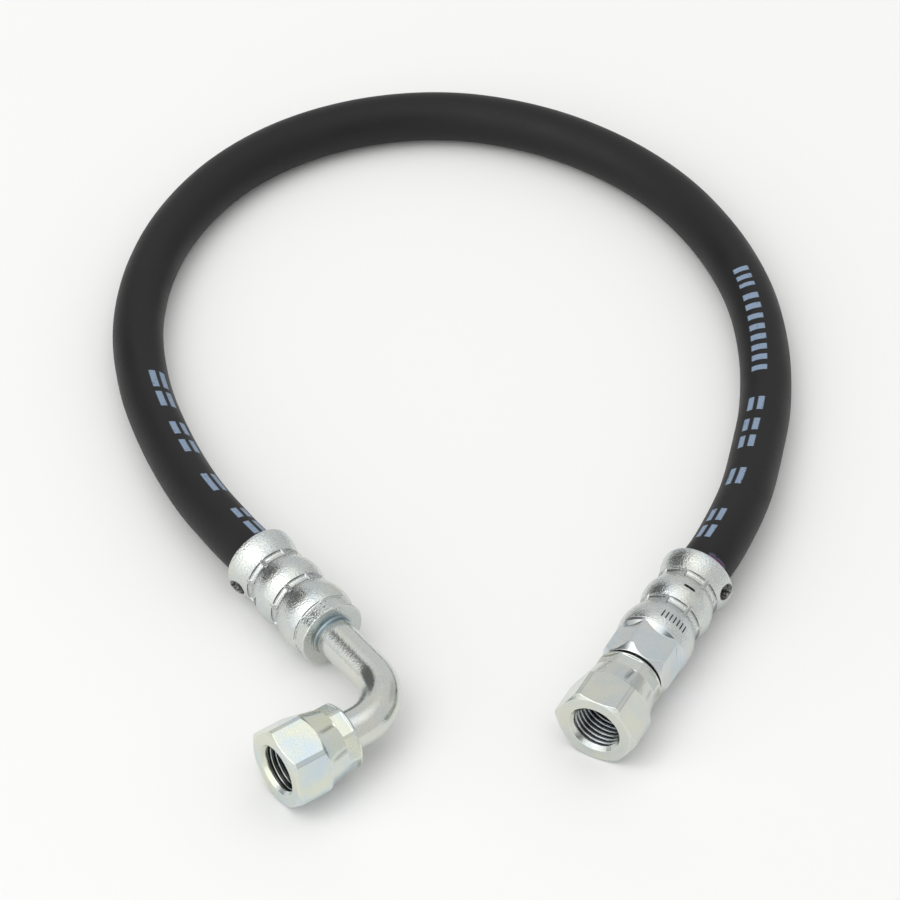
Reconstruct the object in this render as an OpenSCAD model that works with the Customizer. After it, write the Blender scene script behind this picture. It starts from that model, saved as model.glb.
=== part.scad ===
// Hydraulic hose assembly: one wire braid hose with a 90 degree elbow swivel at one
// end and a straight swivel at the other. It lies on a level surface at z = 0.
// Both couplings are built along +Z from the hose side and then laid down.

/* [Hose] */
// Outside diameter of the rubber cover
hose_od = 13; // [12.6:0.1:13.6]
// Outside diameter of the wire braid
braid_od = 10.8; // [10.4:0.1:11.2]
// Thickness of the wire braid layer
braid_t = 0.7; // [0.5:0.1:1]
// Bore of the inner rubber tube
hose_bore = 6.2; // [6:0.1:6.4]
// How far the hose runs into each ferrule
hose_grip = 23; // [22:0.5:24]

/* [Ferrules] */
// Length of the elbow's ferrule
elbow_ferrule_len = 31.4; // [30.5:0.1:34]
// Length of the straight end's ferrule
straight_ferrule_len = 26; // [25.5:0.1:27.5]
// Diameter over the skirt at the hose mouth
skirt_od = 18.7; // [18:0.1:19.5]
// Diameter over the middle lobe
middle_od = 18; // [17.6:0.1:19.5]
// Diameter over the large third lobe
dome_od = 18.6; // [18:0.1:19.5]
// Diameter of the uncrimped ring left in each crimp groove
nib_od = 15.8; // [15.6:0.1:16.4]
// Depth of each die mark below that ring
crimp_depth = 0.5; // [0.3:0.1:0.6]
// Width of a crimp groove at its mouth
crimp_w = 2.6; // [2:0.1:3]
// Distance from the elbow ferrule's mouth to the middle of its first groove
elbow_groove_at = 8.1; // [7:0.1:8.6]
// Distance from the straight ferrule's mouth to the middle of its first groove
straight_groove_at = 7.3; // [6.8:0.1:8]
// Distance between the two crimp grooves
groove_pitch = 10.1; // [9.6:0.1:10.6]
// Number of dies that close the ferrule
dies = 8; // [6:1:10]
// Width of the lock band at the end of the elbow's ferrule
lock_band_w = 3.9; // [3.5:0.1:4.3]
// Width across the flats of the lock band
lock_band_af = 17; // [16.7:0.1:17.3]
// Thickness of the end wall of the elbow's ferrule
end_wall = 1.2; // [1:0.1:2]
// Diameter of the sight hole in the skirt
sight_hole = 4.2; // [2:0.1:4.4]

/* [Nipples] */
// Diameter over the barbs of a tail
tail_od = 6.6; // [6.4:0.1:6.8]
// Bore of a tail
tail_bore = 4.4; // [4:0.1:4.8]
// Number of barbs on a tail
barbs = 6; // [4:1:8]
// Diameter of the collar that fills the ferrule behind the hose
collar_od = 13.6; // [13.2:0.1:14]
// Width across the flats of the straight nipple's hexagon
nipple_af = 16; // [15.4:0.1:16.6]
// Diameter that trims the corners of that hexagon
nipple_corner_d = 17.8; // [17.4:0.1:18.2]
// Length of that hexagon
nipple_hex_len = 10.7; // [9:0.1:14]

/* [Bent tube] */
// Outside diameter of the tube and of the neck inside each nut
tube_od = 10; // [9.4:0.1:10.2]
// Bore of the tube and of the seats
tube_bore = 6; // [5:0.1:6.4]
// Bend radius at the middle of the tube
bend_r = 12.7; // [12:0.1:14]
// Distance from the ferrule's face to the corner of the elbow
elbow_leg = 28.8; // [27:0.1:36]
// Distance from the corner of the elbow to the face of its nut
elbow_drop = 35.9; // [35:0.1:44]
// Width of the braze fillet on the face of the ferrule
fillet_w = 0.5; // [0.3:0.1:0.8]
// Length of the braze fillet along the tube
fillet_len = 2.3; // [1.5:0.1:3]

/* [Swivel nuts] */
// Width across the flats of a nut
nut_af = 19; // [18.6:0.1:19.6]
// Diameter that trims the corners of a nut
nut_corner_d = 21.3; // [21:0.1:21.4]
// Length of a nut
nut_len = 19.3; // [18.8:0.1:22]
// Length of the crimped collar behind the hexagon
nut_collar_len = 4.3; // [4.2:0.1:5]
// Diameter over that collar
nut_collar_d = 16.8; // [16.5:0.1:17.2]
// Width across the die flats of that collar
nut_collar_af = 16.2; // [15.9:0.1:16.4]
// Length of the cone between the collar and the full hexagon
nut_cone_len = 5.4; // [5:0.1:6]
// Minor diameter of the parallel thread
thread_minor = 11.445; // [11.2:0.005:11.6]
// Length of the threaded wall
thread_len = 8.4; // [7:0.1:8.5]
// Diameter of the chamfer at the mouth of the thread
thread_mouth_d = 13.4; // [13.2:0.1:14]
// Gap between the straight end's nut and hexagon
nut_gap = 0.7; // [0.4:0.1:1.5]

/* [Layout] */
// Direction of the straight fitting in plan, from -Y towards -X
straight_turn = 27.6; // [26:0.1:30]
// Direction of the elbow's ferrule in plan, from -Y towards +X
elbow_turn = 35.8; // [34:0.1:38]
// Turn of the straight end's nut about its own axis, from a flat lying down
straight_nut_roll = 2; // [0:1:30]
// Turn of the elbow's nut about its own axis, from a flat lying down
elbow_nut_roll = 16; // [0:1:30]
// Turn of the nipple's hexagon about its own axis, from a flat lying down
nipple_roll = 21; // [0:1:30]
// Turn of the die marks on the straight end's ferrule
straight_die_turn = 4; // [0:1:44]
// Turn of the die marks on the elbow's ferrule
elbow_die_turn = 28; // [0:1:44]
// Turn of the sight hole in the straight end's ferrule
straight_sight_turn = 15; // [0:1:359]
// Turn of the sight hole in the elbow's ferrule
elbow_sight_turn = 190; // [0:1:359]

/* [Hidden] */
$fn = 64;

// Clearances: layers that slide have play, layers that are squeezed or brazed have none
hose_play = 0.05;
lock_play = 0.05;
running_play = 0.05;
neck_play = 0.2;
axial_play = 0.1;
rest_play = 0.05;

// Hose route: points in plan and the lift of the hose above the surface it lies on
hose_route = [
    [-63, -25, 2], [-71.5, -5, 0.8], [-77.5, 15.5, 0], [-80, 37, 0], [-77.5, 59, 0],
    [-70, 79.5, 0], [-57.5, 97.5, 0], [-40.5, 111, 0], [-20, 119, 0], [2, 120.5, 0],
    [23.5, 115, 0], [42.5, 104, 0], [58, 89, 0], [69.5, 70.5, 0], [77, 50, 0],
    [80, 29, 0], [79.5, 8, 0.2], [76.5, -10, 0.9], [72.5, -27.5, 2.1]
];
hose_sides = 12;
hose_r = hose_od / 2;
braid_r = braid_od / 2;
liner_r = braid_r - braid_t;
bore_r = hose_bore / 2;

// Ferrule: shares of its section and its play
die_angle = 360 / dies;
nib_angle = 7;
wall_steps = 6;
rim_round = 0.5;
groove_floor_w = crimp_w * 0.8;
ferrule_bore_r = hose_r + hose_play;
crimp_bite = 0.35;
bite_w = 1.6;
neck_r = tube_od / 2;
fillet_r = neck_r + fillet_w;

// Lock between ferrule and nipple
collar_r = collar_od / 2;
collar_at = hose_grip + 0.5;
lock_rib_w = 1.2;
lock_rib_h = 0.7;
tail_start = 3;

// Nut: places along its axis from the rear rim
corner_r = nut_corner_d / 2;
seat_at = nut_collar_len - 0.4;
shoulder_len = 2.9;
nose_at = seat_at + axial_play + shoulder_len;
nose_len = 2.8;
nose_angle = 30;
nose_base_r = 5.4;
nose_tip_r = nose_base_r - nose_len * tan(nose_angle);
shoulder_r = 6.4;
pocket_r = shoulder_r + running_play;
thread_at = nut_len - (thread_mouth_d - thread_minor) / 2 - thread_len;
face_chamfer = 0.75;
face_r = corner_r - face_chamfer / tan(30);
socket_depth = 2.4;

// Heights of the two coupling axes above the surface
ferrule_r = max(dome_od, skirt_od, middle_od) / 2;
function hex_drop(corner, af, roll) =
    corner * cos(max(0, acos(min(1, af / 2 / corner)) - roll));
straight_nut_drop = hex_drop(corner_r, nut_af, straight_nut_roll);
nipple_drop = hex_drop(nipple_corner_d / 2, nipple_af, nipple_roll);
straight_axis_z = max(straight_nut_drop, nipple_drop, ferrule_r) + rest_play;
elbow_axis_z = max(hex_drop(corner_r, nut_af, elbow_nut_roll), ferrule_r) + rest_play;

// Places along the couplings
straight_hex_end = straight_ferrule_len + nipple_hex_len;
straight_nut_at = straight_hex_end + nut_gap;
elbow_corner_at = elbow_ferrule_len + elbow_leg;
elbow_nut_at = elbow_drop - nut_len;

// The elbow rests on its nut and on its skirt, so its first leg rises a little
elbow_mouth_z = ferrule_r + rest_play;
elbow_tilt = asin((elbow_axis_z - elbow_mouth_z) / elbow_corner_at);

// The mouth of each ferrule, and the direction from there along the coupling
straight_mouth = [60, -56.26, straight_axis_z];
elbow_mouth = [-46.5, -50.2, elbow_mouth_z];
straight_dir = [-sin(straight_turn), -cos(straight_turn), 0];
elbow_dir = [sin(elbow_turn) * cos(elbow_tilt), -cos(elbow_turn) * cos(elbow_tilt),
             sin(elbow_tilt)];
spigot_web = 2.9;
spigot_step = 0.8;
spigot_at = collar_at + spigot_web;
spigot_len = elbow_ferrule_len - spigot_at;

function unit(v) = v / norm(v);

// All points of the hose: it enters each ferrule square and straight
hose_path = concat(
    [for (s = [hose_grip, 0, -hose_od]) elbow_mouth + s * elbow_dir],
    [for (p = hose_route) [p[0], p[1], hose_r + p[2]]],
    [for (s = [-hose_od, 0, hose_grip]) straight_mouth + s * straight_dir]
);
hose_last = len(hose_path) - 1;

// Direction of the hose at point i
function hose_dir(i) =
    i == 0 ? -elbow_dir :
    i == hose_last ? straight_dir :
    unit(unit(hose_path[i] - hose_path[i - 1]) + unit(hose_path[i + 1] - hose_path[i]));

// Ring of points of radius r round the hose at point i
function hose_ring(i, r) =
    let (t = hose_dir(i), side = unit(cross(t, [0, 0, 1])), up = cross(side, t))
    [for (k = [0:hose_sides - 1])
        let (a = 360 * k / hose_sides)
        hose_path[i] + r * (cos(a) * side + sin(a) * up)];

// One layer of the hose, from radius r_in to radius r_out
module hose_layer(r_in, r_out) {
    n = hose_sides;
    rings = hose_last + 1;
    outer = [for (i = [0:hose_last]) each hose_ring(i, r_out)];
    inner = [for (i = [0:hose_last]) each hose_ring(i, r_in)];
    function at(i, k) = i * n + k % n;
    m = rings * n;
    walls = [for (i = [0:hose_last - 1], k = [0:n - 1]) each [
        [at(i, k), at(i + 1, k), at(i + 1, k + 1)],
        [at(i, k), at(i + 1, k + 1), at(i, k + 1)],
        [m + at(i, k), m + at(i + 1, k + 1), m + at(i + 1, k)],
        [m + at(i, k), m + at(i, k + 1), m + at(i + 1, k + 1)]
    ]];
    ends = [for (k = [0:n - 1]) each [
        [at(0, k), at(0, k + 1), m + at(0, k + 1)],
        [at(0, k), m + at(0, k + 1), m + at(0, k)],
        [at(hose_last, k + 1), at(hose_last, k), m + at(hose_last, k)],
        [at(hose_last, k + 1), m + at(hose_last, k), m + at(hose_last, k + 1)]
    ]];
    polyhedron(concat(outer, inner), concat(walls, ends), convexity = 6);
}

// Lay a coupling down from its ferrule's mouth at p, turned in plan and tilted up
module along(p, turn, tilt) {
    translate(p) rotate([0, 0, turn]) rotate([90 - tilt, 0, 0]) children();
}
module on_straight() {
    along(straight_mouth, -straight_turn, 0) children();
}
module on_elbow() {
    along(elbow_mouth, elbow_turn, elbow_tilt) children();
}
// Second leg of the elbow: from its corner, square to the first leg
module on_elbow_drop() {
    on_elbow() translate([0, 0, elbow_corner_at]) rotate([0, -90, 0]) children();
}

// Points of a lobe that swells from r0 to top and back to r1 between z0 and z1
function lobe(z0, z1, r0, r1, top) =
    [for (i = [0:wall_steps])
        let (u = i / wall_steps, base = r0 + (r1 - r0) * u)
        [base + (top - (r0 + r1) / 2) * 4 * u * (1 - u), z0 + (z1 - z0) * u]];

// Section of a ferrule's outside, from its mouth to the end of the third lobe
function ferrule_outline(groove, dome_end, end_r) =
    let (nib_r = nib_od / 2, g = crimp_w / 2, groove_2 = groove + groove_pitch)
    concat(
        [[skirt_od / 2 - rim_round, 0], [skirt_od / 2, rim_round]],
        [[skirt_od / 2 - 0.15, groove * 0.27], [skirt_od / 2 - 0.55, groove * 0.45]],
        [[nib_r + 0.25, groove * 0.65], [nib_r, groove - g]],
        lobe(groove + g, groove_2 - g, nib_r, nib_r, middle_od / 2),
        lobe(groove_2 + g, dome_end, nib_r, end_r, dome_od / 2)
    );

// Flat marks that the dies press into one groove at height z
module die_marks(z, turn) {
    deep_r = nib_od / 2 - crimp_depth;
    die_w = 2 * nib_od / 2 * sin((die_angle - nib_angle) / 2);
    for (i = [0:dies - 1])
        rotate([0, 0, turn + (i + 0.5) * die_angle]) translate([deep_r, 0, z])
            rotate([90, 0, 0]) linear_extrude(height = die_w, center = true)
                polygon([[0, -groove_floor_w / 2], [0, groove_floor_w / 2],
                         [skirt_od, crimp_w / 2 + 1], [skirt_od, -crimp_w / 2 - 1]]);
}

// Bore of a ferrule over the hose, with a bead that bites the cover under each groove
module ferrule_bore(groove) {
    difference() {
        translate([0, 0, -1]) cylinder(r = ferrule_bore_r, h = collar_at + 1);
        for (z = [groove, groove + groove_pitch])
            translate([0, 0, z - bite_w / 2]) difference() {
                cylinder(r = ferrule_bore_r + 1, h = bite_w);
                translate([0, 0, -1]) cylinder(r = hose_r - crimp_bite, h = bite_w + 2);
            }
    }
    translate([0, 0, -0.01]) cylinder(r1 = ferrule_bore_r + 0.6, r2 = ferrule_bore_r, h = 1.2);
}

// Hole in the skirt that shows how far the hose goes in
module sight_hole_at(angle, groove) {
    rotate([0, 0, angle]) translate([hose_r - 1, 0, groove * 0.42])
        rotate([0, 90, 0]) cylinder(d = sight_hole, h = skirt_od);
}

// Barbed tail from tail_start to just inside the collar, without its bore
module tail_outside() {
    root_r = bore_r - 0.05;
    pitch = (collar_at - tail_start) / barbs;
    rotate_extrude() polygon(concat(
        [[0, tail_start]],
        [for (i = [0:barbs - 1]) each [
            [root_r, tail_start + i * pitch],
            [tail_od / 2, tail_start + (i + 0.9) * pitch]
        ]],
        [[root_r, collar_at], [root_r, collar_at + 1], [0, collar_at + 1]]
    ));
}

// Front of a stem inside its nut: shoulder and cone seat, from the nut's rear rim
module seat_outside() {
    rotate_extrude() polygon([
        [0, seat_at + axial_play], [shoulder_r, seat_at + axial_play],
        [shoulder_r, nose_at], [nose_base_r, nose_at],
        [nose_tip_r, nose_at + nose_len], [0, nose_at + nose_len]
    ]);
}

// Swivel nut, from its rear rim to its face
module swivel_nut() {
    hex_r = nut_af / 2 / cos(30);
    collar_r2 = nut_collar_d / 2;
    cone_end = nut_collar_len + nut_cone_len;
    difference() {
        intersection() {
            cylinder(r = hex_r, h = nut_len, $fn = 6);
            rotate_extrude() polygon([
                [0, 0], [collar_r2 - 0.6, 0], [collar_r2, 0.6], [collar_r2, nut_collar_len],
                [corner_r, cone_end], [corner_r, nut_len - face_chamfer],
                [face_r, nut_len], [0, nut_len]
            ]);
        }
        translate([0, 0, 0.8]) difference() {
            cylinder(r = corner_r + 1, h = nut_collar_len - 1);
            translate([0, 0, -1]) rotate([0, 0, 18])
                cylinder(r = nut_collar_af / 2 / cos(22.5), h = nut_collar_len + 1, $fn = 8);
        }
        translate([0, 0, -1]) cylinder(r = neck_r + neck_play, h = nut_len);
        translate([0, 0, seat_at]) cylinder(r = pocket_r, h = thread_at - seat_at);
        translate([0, 0, thread_at - 1]) cylinder(d = thread_minor, h = nut_len);
        translate([0, 0, thread_at + thread_len])
            cylinder(d1 = thread_minor, d2 = thread_mouth_d,
                     h = nut_len - thread_at - thread_len);
    }
}

module hose_cover() {
    color("#1b1c1e") hose_layer(braid_r, hose_r);
}

module wire_braid() {
    color("#8c8f91") hose_layer(liner_r, braid_r);
}

module inner_tube() {
    color("#2a2a2b") hose_layer(bore_r, liner_r);
}

// Ferrule of the elbow: three lobes, a lock band with die flats and an end wall
module elbow_ferrule() {
    band_at = elbow_ferrule_len - lock_band_w;
    band_r = lock_band_af / 2 + 0.2;
    wall_at = elbow_ferrule_len - end_wall;
    color("#c3c8c6") on_elbow() difference() {
        rotate_extrude() polygon(concat(
            [[0, 0]],
            ferrule_outline(elbow_groove_at, band_at, band_r),
            [[band_r, elbow_ferrule_len - 0.2], [band_r - 0.2, elbow_ferrule_len],
             [0, elbow_ferrule_len]]
        ));
        die_marks(elbow_groove_at, elbow_die_turn);
        die_marks(elbow_groove_at + groove_pitch, elbow_die_turn);
        translate([0, 0, band_at + 0.2]) difference() {
            cylinder(r = dome_od, h = lock_band_w - 0.5);
            translate([0, 0, -1]) cylinder(r = lock_band_af / 2 / cos(22.5),
                                           h = lock_band_w + 1, $fn = 8);
        }
        ferrule_bore(elbow_groove_at);
        lock_pocket(wall_at);
        cylinder(r = fillet_r, h = elbow_ferrule_len + 1);
        sight_hole_at(elbow_sight_turn, elbow_groove_at);
    }
}

// Space in a ferrule for the nipple's collar, less the rib that locks it
module lock_pocket(pocket_end) {
    mid = (collar_at + pocket_end) / 2;
    difference() {
        translate([0, 0, collar_at - 0.01])
            cylinder(r = collar_r + lock_play, h = pocket_end - collar_at + 0.01);
        translate([0, 0, mid - lock_rib_w / 2]) difference() {
            cylinder(r = collar_r + 1, h = lock_rib_w);
            translate([0, 0, -1]) cylinder(r = collar_r + lock_play - lock_rib_h,
                                           h = lock_rib_w + 2);
        }
    }
}

// Collar of a nipple that fills that space, with its lock groove
module lock_collar(pocket_end) {
    mid = (collar_at + pocket_end) / 2;
    difference() {
        translate([0, 0, collar_at]) cylinder(r = collar_r, h = pocket_end - collar_at);
        translate([0, 0, mid - lock_rib_w / 2 - lock_play]) difference() {
            cylinder(r = collar_r + 1, h = lock_rib_w + 2 * lock_play);
            translate([0, 0, -1]) cylinder(r = collar_r - lock_rib_h, h = lock_rib_w + 3);
        }
    }
}

// Nipple of the elbow: barbed tail, lock collar and a neck that holds the tube
module elbow_nipple() {
    wall_at = elbow_ferrule_len - end_wall;
    color("#b9bfbd") on_elbow() difference() {
        union() {
            tail_outside();
            lock_collar(wall_at);
            translate([0, 0, wall_at - 1]) cylinder(r = fillet_r, h = end_wall + 1);
        }
        cylinder(d = tail_bore, h = elbow_ferrule_len + 1);
        translate([0, 0, spigot_at]) cylinder(r = neck_r - spigot_step, h = spigot_len + 1);
    }
}

// Bent tube: a spigot in the nipple, the bend, and the end in the seat
module elbow_tube() {
    bend_at = elbow_corner_at - bend_r;
    end_at = elbow_nut_at + seat_at + axial_play + socket_depth;
    color("#cfd3cd") difference() {
        union() {
            on_elbow() translate([0, 0, spigot_at])
                cylinder(r = neck_r - spigot_step, h = spigot_len + 1);
            tube_run(neck_r, elbow_ferrule_len, bend_at, end_at);
        }
        tube_run(tube_bore / 2, spigot_at - 1, bend_at, end_at + 1);
    }
}

// Solid run of radius r along the tube's middle line
module tube_run(r, from, bend_at, to) {
    on_elbow() {
        translate([0, 0, from]) cylinder(r = r, h = bend_at - from);
        translate([-bend_r, 0, bend_at]) rotate([90, 0, 0])
            rotate_extrude(angle = 90) translate([bend_r, 0]) circle(r = r);
    }
    on_elbow_drop() translate([0, 0, bend_r]) cylinder(r = r, h = to - bend_r);
}

// Braze fillet where the tube leaves the nipple
module braze_fillet() {
    color("#8fa3a8") on_elbow() translate([0, 0, elbow_ferrule_len])
        rotate_extrude() polygon([[neck_r, 0], [fillet_r, 0],
                                  [neck_r + fillet_w * 0.3, fillet_len * 0.35],
                                  [neck_r, fillet_len]]);
}

// Cone seat brazed on the tube inside the elbow's nut
module elbow_seat() {
    start = seat_at + axial_play;
    color("#b9bfbd") on_elbow_drop() translate([0, 0, elbow_nut_at]) difference() {
        seat_outside();
        translate([0, 0, start - 1]) cylinder(r = neck_r, h = socket_depth + 1);
        cylinder(d = tube_bore, h = nut_len);
    }
}

module elbow_nut() {
    color("#c9cec8") on_elbow_drop() translate([0, 0, elbow_nut_at])
        rotate([0, 0, -elbow_nut_roll]) swivel_nut();
}

// Ferrule of the straight end: three lobes that end against the hexagon
module straight_ferrule() {
    end_r = nipple_corner_d / 2 + 0.35;
    color("#c3c8c6") on_straight() difference() {
        rotate_extrude() polygon(concat(
            [[0, 0]],
            ferrule_outline(straight_groove_at, straight_ferrule_len, end_r),
            [[0, straight_ferrule_len]]
        ));
        die_marks(straight_groove_at, straight_die_turn);
        die_marks(straight_groove_at + groove_pitch, straight_die_turn);
        ferrule_bore(straight_groove_at);
        lock_pocket(straight_ferrule_len);
        translate([0, 0, straight_ferrule_len - 0.5])
            cylinder(r = collar_r + lock_play, h = 1);
        sight_hole_at(straight_sight_turn, straight_groove_at);
    }
}

// Nipple of the straight end: tail, collar, hexagon, neck, shoulder and cone seat
module straight_nipple() {
    hex_r = nipple_af / 2 / cos(30);
    trim_r = nipple_corner_d / 2;
    slope_len = 2.1;
    color("#b9bfbd") on_straight() difference() {
        union() {
            tail_outside();
            lock_collar(straight_ferrule_len);
            translate([0, 0, straight_ferrule_len - 0.5]) cylinder(r = collar_r, h = 1);
            translate([0, 0, straight_ferrule_len]) intersection() {
                rotate([0, 0, -nipple_roll]) cylinder(r = hex_r, h = nipple_hex_len, $fn = 6);
                rotate_extrude() polygon([
                    [0, 0], [trim_r, 0], [trim_r, nipple_hex_len - 2.2],
                    [nipple_af / 2 - 0.1, nipple_hex_len], [0, nipple_hex_len]
                ]);
            }
            translate([0, 0, straight_ferrule_len]) rotate_extrude() polygon([
                [0, 0], [trim_r + 0.35, 0], [trim_r, slope_len * 0.45],
                [nipple_af / 2 - 0.1, slope_len], [0, slope_len]
            ]);
            translate([0, 0, straight_hex_end - 1])
                cylinder(r = neck_r, h = nut_gap + seat_at + axial_play + 2);
            translate([0, 0, straight_nut_at]) seat_outside();
        }
        cylinder(d = tail_bore, h = straight_nut_at + nut_len);
        translate([0, 0, straight_hex_end]) cylinder(d = tube_bore, h = nut_len);
    }
}

module straight_nut() {
    color("#c9cec8") on_straight() translate([0, 0, straight_nut_at])
        rotate([0, 0, -straight_nut_roll]) swivel_nut();
}

hose_cover();
wire_braid();
inner_tube();
elbow_ferrule();
elbow_nipple();
elbow_tube();
braze_fillet();
elbow_seat();
elbow_nut();
straight_ferrule();
straight_nipple();
straight_nut();
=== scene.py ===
import bpy
import numpy as np
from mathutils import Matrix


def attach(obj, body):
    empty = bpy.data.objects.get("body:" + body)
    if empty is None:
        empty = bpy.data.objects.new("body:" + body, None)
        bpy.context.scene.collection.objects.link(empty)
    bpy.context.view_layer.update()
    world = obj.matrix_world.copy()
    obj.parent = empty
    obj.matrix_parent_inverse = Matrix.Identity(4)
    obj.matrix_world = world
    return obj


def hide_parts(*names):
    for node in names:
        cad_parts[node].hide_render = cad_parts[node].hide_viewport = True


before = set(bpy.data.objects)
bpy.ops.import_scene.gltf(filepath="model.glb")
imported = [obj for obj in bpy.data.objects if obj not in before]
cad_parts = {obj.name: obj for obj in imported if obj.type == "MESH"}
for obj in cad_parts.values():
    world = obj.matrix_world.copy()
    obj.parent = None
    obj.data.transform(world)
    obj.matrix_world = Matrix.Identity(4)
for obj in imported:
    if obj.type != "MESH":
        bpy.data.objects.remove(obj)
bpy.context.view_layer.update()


def add_object(name, data):
    """A new object that shows in the scene."""
    made = bpy.data.objects.new(name, data)
    bpy.context.scene.collection.objects.link(made)
    return made


# ---------------------------------------------------------------------------
# Camera: stands in front of the two couplings and looks down on the hose where
# it lies. Its lens is long, so that the ring of hose is hardly tapered.
camera = add_object("studio_camera", bpy.data.cameras.new("studio_camera"))
camera.data.sensor_width = 36.0
camera.data.lens = 188.0
camera.data.clip_start, camera.data.clip_end = 0.05, 20.0
camera.location = (0.0, -0.8529, 0.8217)
camera.rotation_euler = (np.radians(46.0), 0.0, 0.0)
bpy.context.scene.camera = camera
bpy.context.scene.view_settings.view_transform = "Standard"

# ---------------------------------------------------------------------------
# Hose: an extruded rubber cover over a steel wire braid and a rubber liner, cut
# to length and pushed into a ferrule at each end. It lies in one open loop.
MM = 0.001
cover_radius, braid_radius, liner_radius, bore_radius = 6.5, 5.4, 4.7, 3.1
hose_grip = 23.0
rest_height = cover_radius * MM

# The loop, from the elbow's ferrule to the straight one: plan and lift, in metres
hose_route = np.array([
    (-0.0630, -0.0250, 0.0020), (-0.0715, -0.0050, 0.0008), (-0.0775, 0.0155, 0.0),
    (-0.0800, 0.0370, 0.0), (-0.0775, 0.0590, 0.0), (-0.0700, 0.0795, 0.0),
    (-0.0575, 0.0975, 0.0), (-0.0405, 0.1110, 0.0), (-0.0200, 0.1190, 0.0),
    (0.0020, 0.1205, 0.0), (0.0235, 0.1150, 0.0), (0.0425, 0.1040, 0.0),
    (0.0580, 0.0890, 0.0), (0.0695, 0.0705, 0.0), (0.0770, 0.0500, 0.0),
    (0.0800, 0.0290, 0.0), (0.0795, 0.0080, 0.0002), (0.0765, -0.0100, 0.0009),
    (0.0725, -0.0275, 0.0021),
])


def laid(mouth, turn, tilt):
    """Where a coupling lies: a function from its own axes, in millimetres from the
    ferrule's mouth with z along the coupling, to the object's axes in metres."""
    t, b = np.radians(turn), np.radians(90.0 - tilt)
    about_z = np.array([[np.cos(t), -np.sin(t), 0], [np.sin(t), np.cos(t), 0], [0, 0, 1]])
    about_x = np.array([[1, 0, 0], [0, np.cos(b), -np.sin(b)], [0, np.sin(b), np.cos(b)]])
    turned_by = about_z @ about_x
    return lambda points: (np.asarray(points, float) @ turned_by.T + mouth) * MM


on_elbow = laid((-46.5, -50.2, 9.4), 35.8, 1.0554)
on_straight = laid((60.0, -56.26, 9.7122), -27.6, 0.0)


def unit(vectors):
    """The vectors at length one."""
    return vectors / np.linalg.norm(vectors, axis=-1, keepdims=True)


def smooth_line(points, per_span):
    """A line through all the points: between two of them the cubic that leaves each
    along the chord of its neighbours (Catmull-Rom), at per_span places a span."""
    p = np.vstack([2 * points[0] - points[1], points, 2 * points[-1] - points[-2]])
    p0, p1, p2, p3 = (p[k:len(p) - 3 + k, None] for k in range(4))
    t = np.linspace(0, 1, per_span, endpoint=False)[None, :, None]
    line = 0.5 * (2 * p1 + (p2 - p0) * t + (2 * p0 - 5 * p1 + 4 * p2 - p3) * t ** 2
                  + (3 * p1 - p0 - 3 * p2 + p3) * t ** 3)
    return np.vstack([line.reshape(-1, 3), points[-1]])


# It runs straight and square into each ferrule, one diameter ahead of the mouth
ahead = 2 * cover_radius
hose_points = np.vstack([
    on_elbow([(0, 0, s) for s in (hose_grip, 0, -ahead)]),
    hose_route + (0, 0, rest_height),
    on_straight([(0, 0, s) for s in (-ahead, 0, hose_grip)]),
])
hose_line = smooth_line(hose_points, 18)
hose_line[:, 2] = np.maximum(hose_line[:, 2], rest_height)
hose_length = np.linalg.norm(np.diff(hose_line, axis=0), axis=1).sum()


def grid_piece(name, points, body, stands_for, slot, across=None, **values):
    """A closed surface from a grid of points (rows x columns) that runs round in both
    directions. Each cell is a four-sided face, turned outwards by the sign of the
    volume. The map 'surface' holds the two grid coordinates; values go to the points."""
    rows, columns = points.shape[:2]
    i, j = np.meshgrid(np.arange(rows), np.arange(columns), indexing="ij")
    i1, j1 = (i + 1) % rows, (j + 1) % columns
    faces = np.stack([i * columns + j, i1 * columns + j, i1 * columns + j1, i * columns + j1],
                     axis=-1).reshape(-1, 4)
    flat = points.reshape(-1, 3)
    corner = flat[faces]
    volume = sum(np.einsum("ij,ij->i", corner[:, 0], np.cross(corner[:, k], corner[:, k + 1]))
                 for k in (1, 2)).sum()
    u = np.linspace(0, 1, rows + 1) if across is None else across
    v = np.linspace(0, 1, columns + 1)
    maps = np.stack([np.stack([u[i], v[j]], -1), np.stack([u[i + 1], v[j]], -1),
                     np.stack([u[i + 1], v[j + 1]], -1), np.stack([u[i], v[j + 1]], -1)],
                    axis=2).reshape(-1, 4, 2)
    if volume < 0:
        faces, maps = faces[:, ::-1], maps[:, ::-1]
    mesh = bpy.data.meshes.new(name)
    mesh.from_pydata(flat, [], faces)
    mesh.uv_layers.new(name="surface").data.foreach_set("uv", maps.ravel())
    for key, value in values.items():
        mesh.attributes.new(key, "FLOAT", "POINT").data.foreach_set("value", value.ravel())
    mesh.polygons.foreach_set("use_smooth", np.ones(len(faces), bool))
    piece = add_object(name, mesh)
    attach(piece, body)
    if stands_for:
        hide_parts(*stands_for)
    return piece


def rings_round(line, radius, sides):
    """Rings of points round a line: centre + radius x (cos a x side + sin a x up), with
    side and up square to the line and side level with the floor."""
    along = unit(np.gradient(line, axis=0))
    side = unit(np.cross(along, (0, 0, 1)))
    up = np.cross(side, along)
    a = np.linspace(0, 2 * np.pi, sides, endpoint=False)[None, :, None]
    radius = np.broadcast_to(radius, len(line))[:, None, None]
    return line[:, None] + radius * (np.cos(a) * side[:, None] + np.sin(a) * up[:, None])


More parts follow.
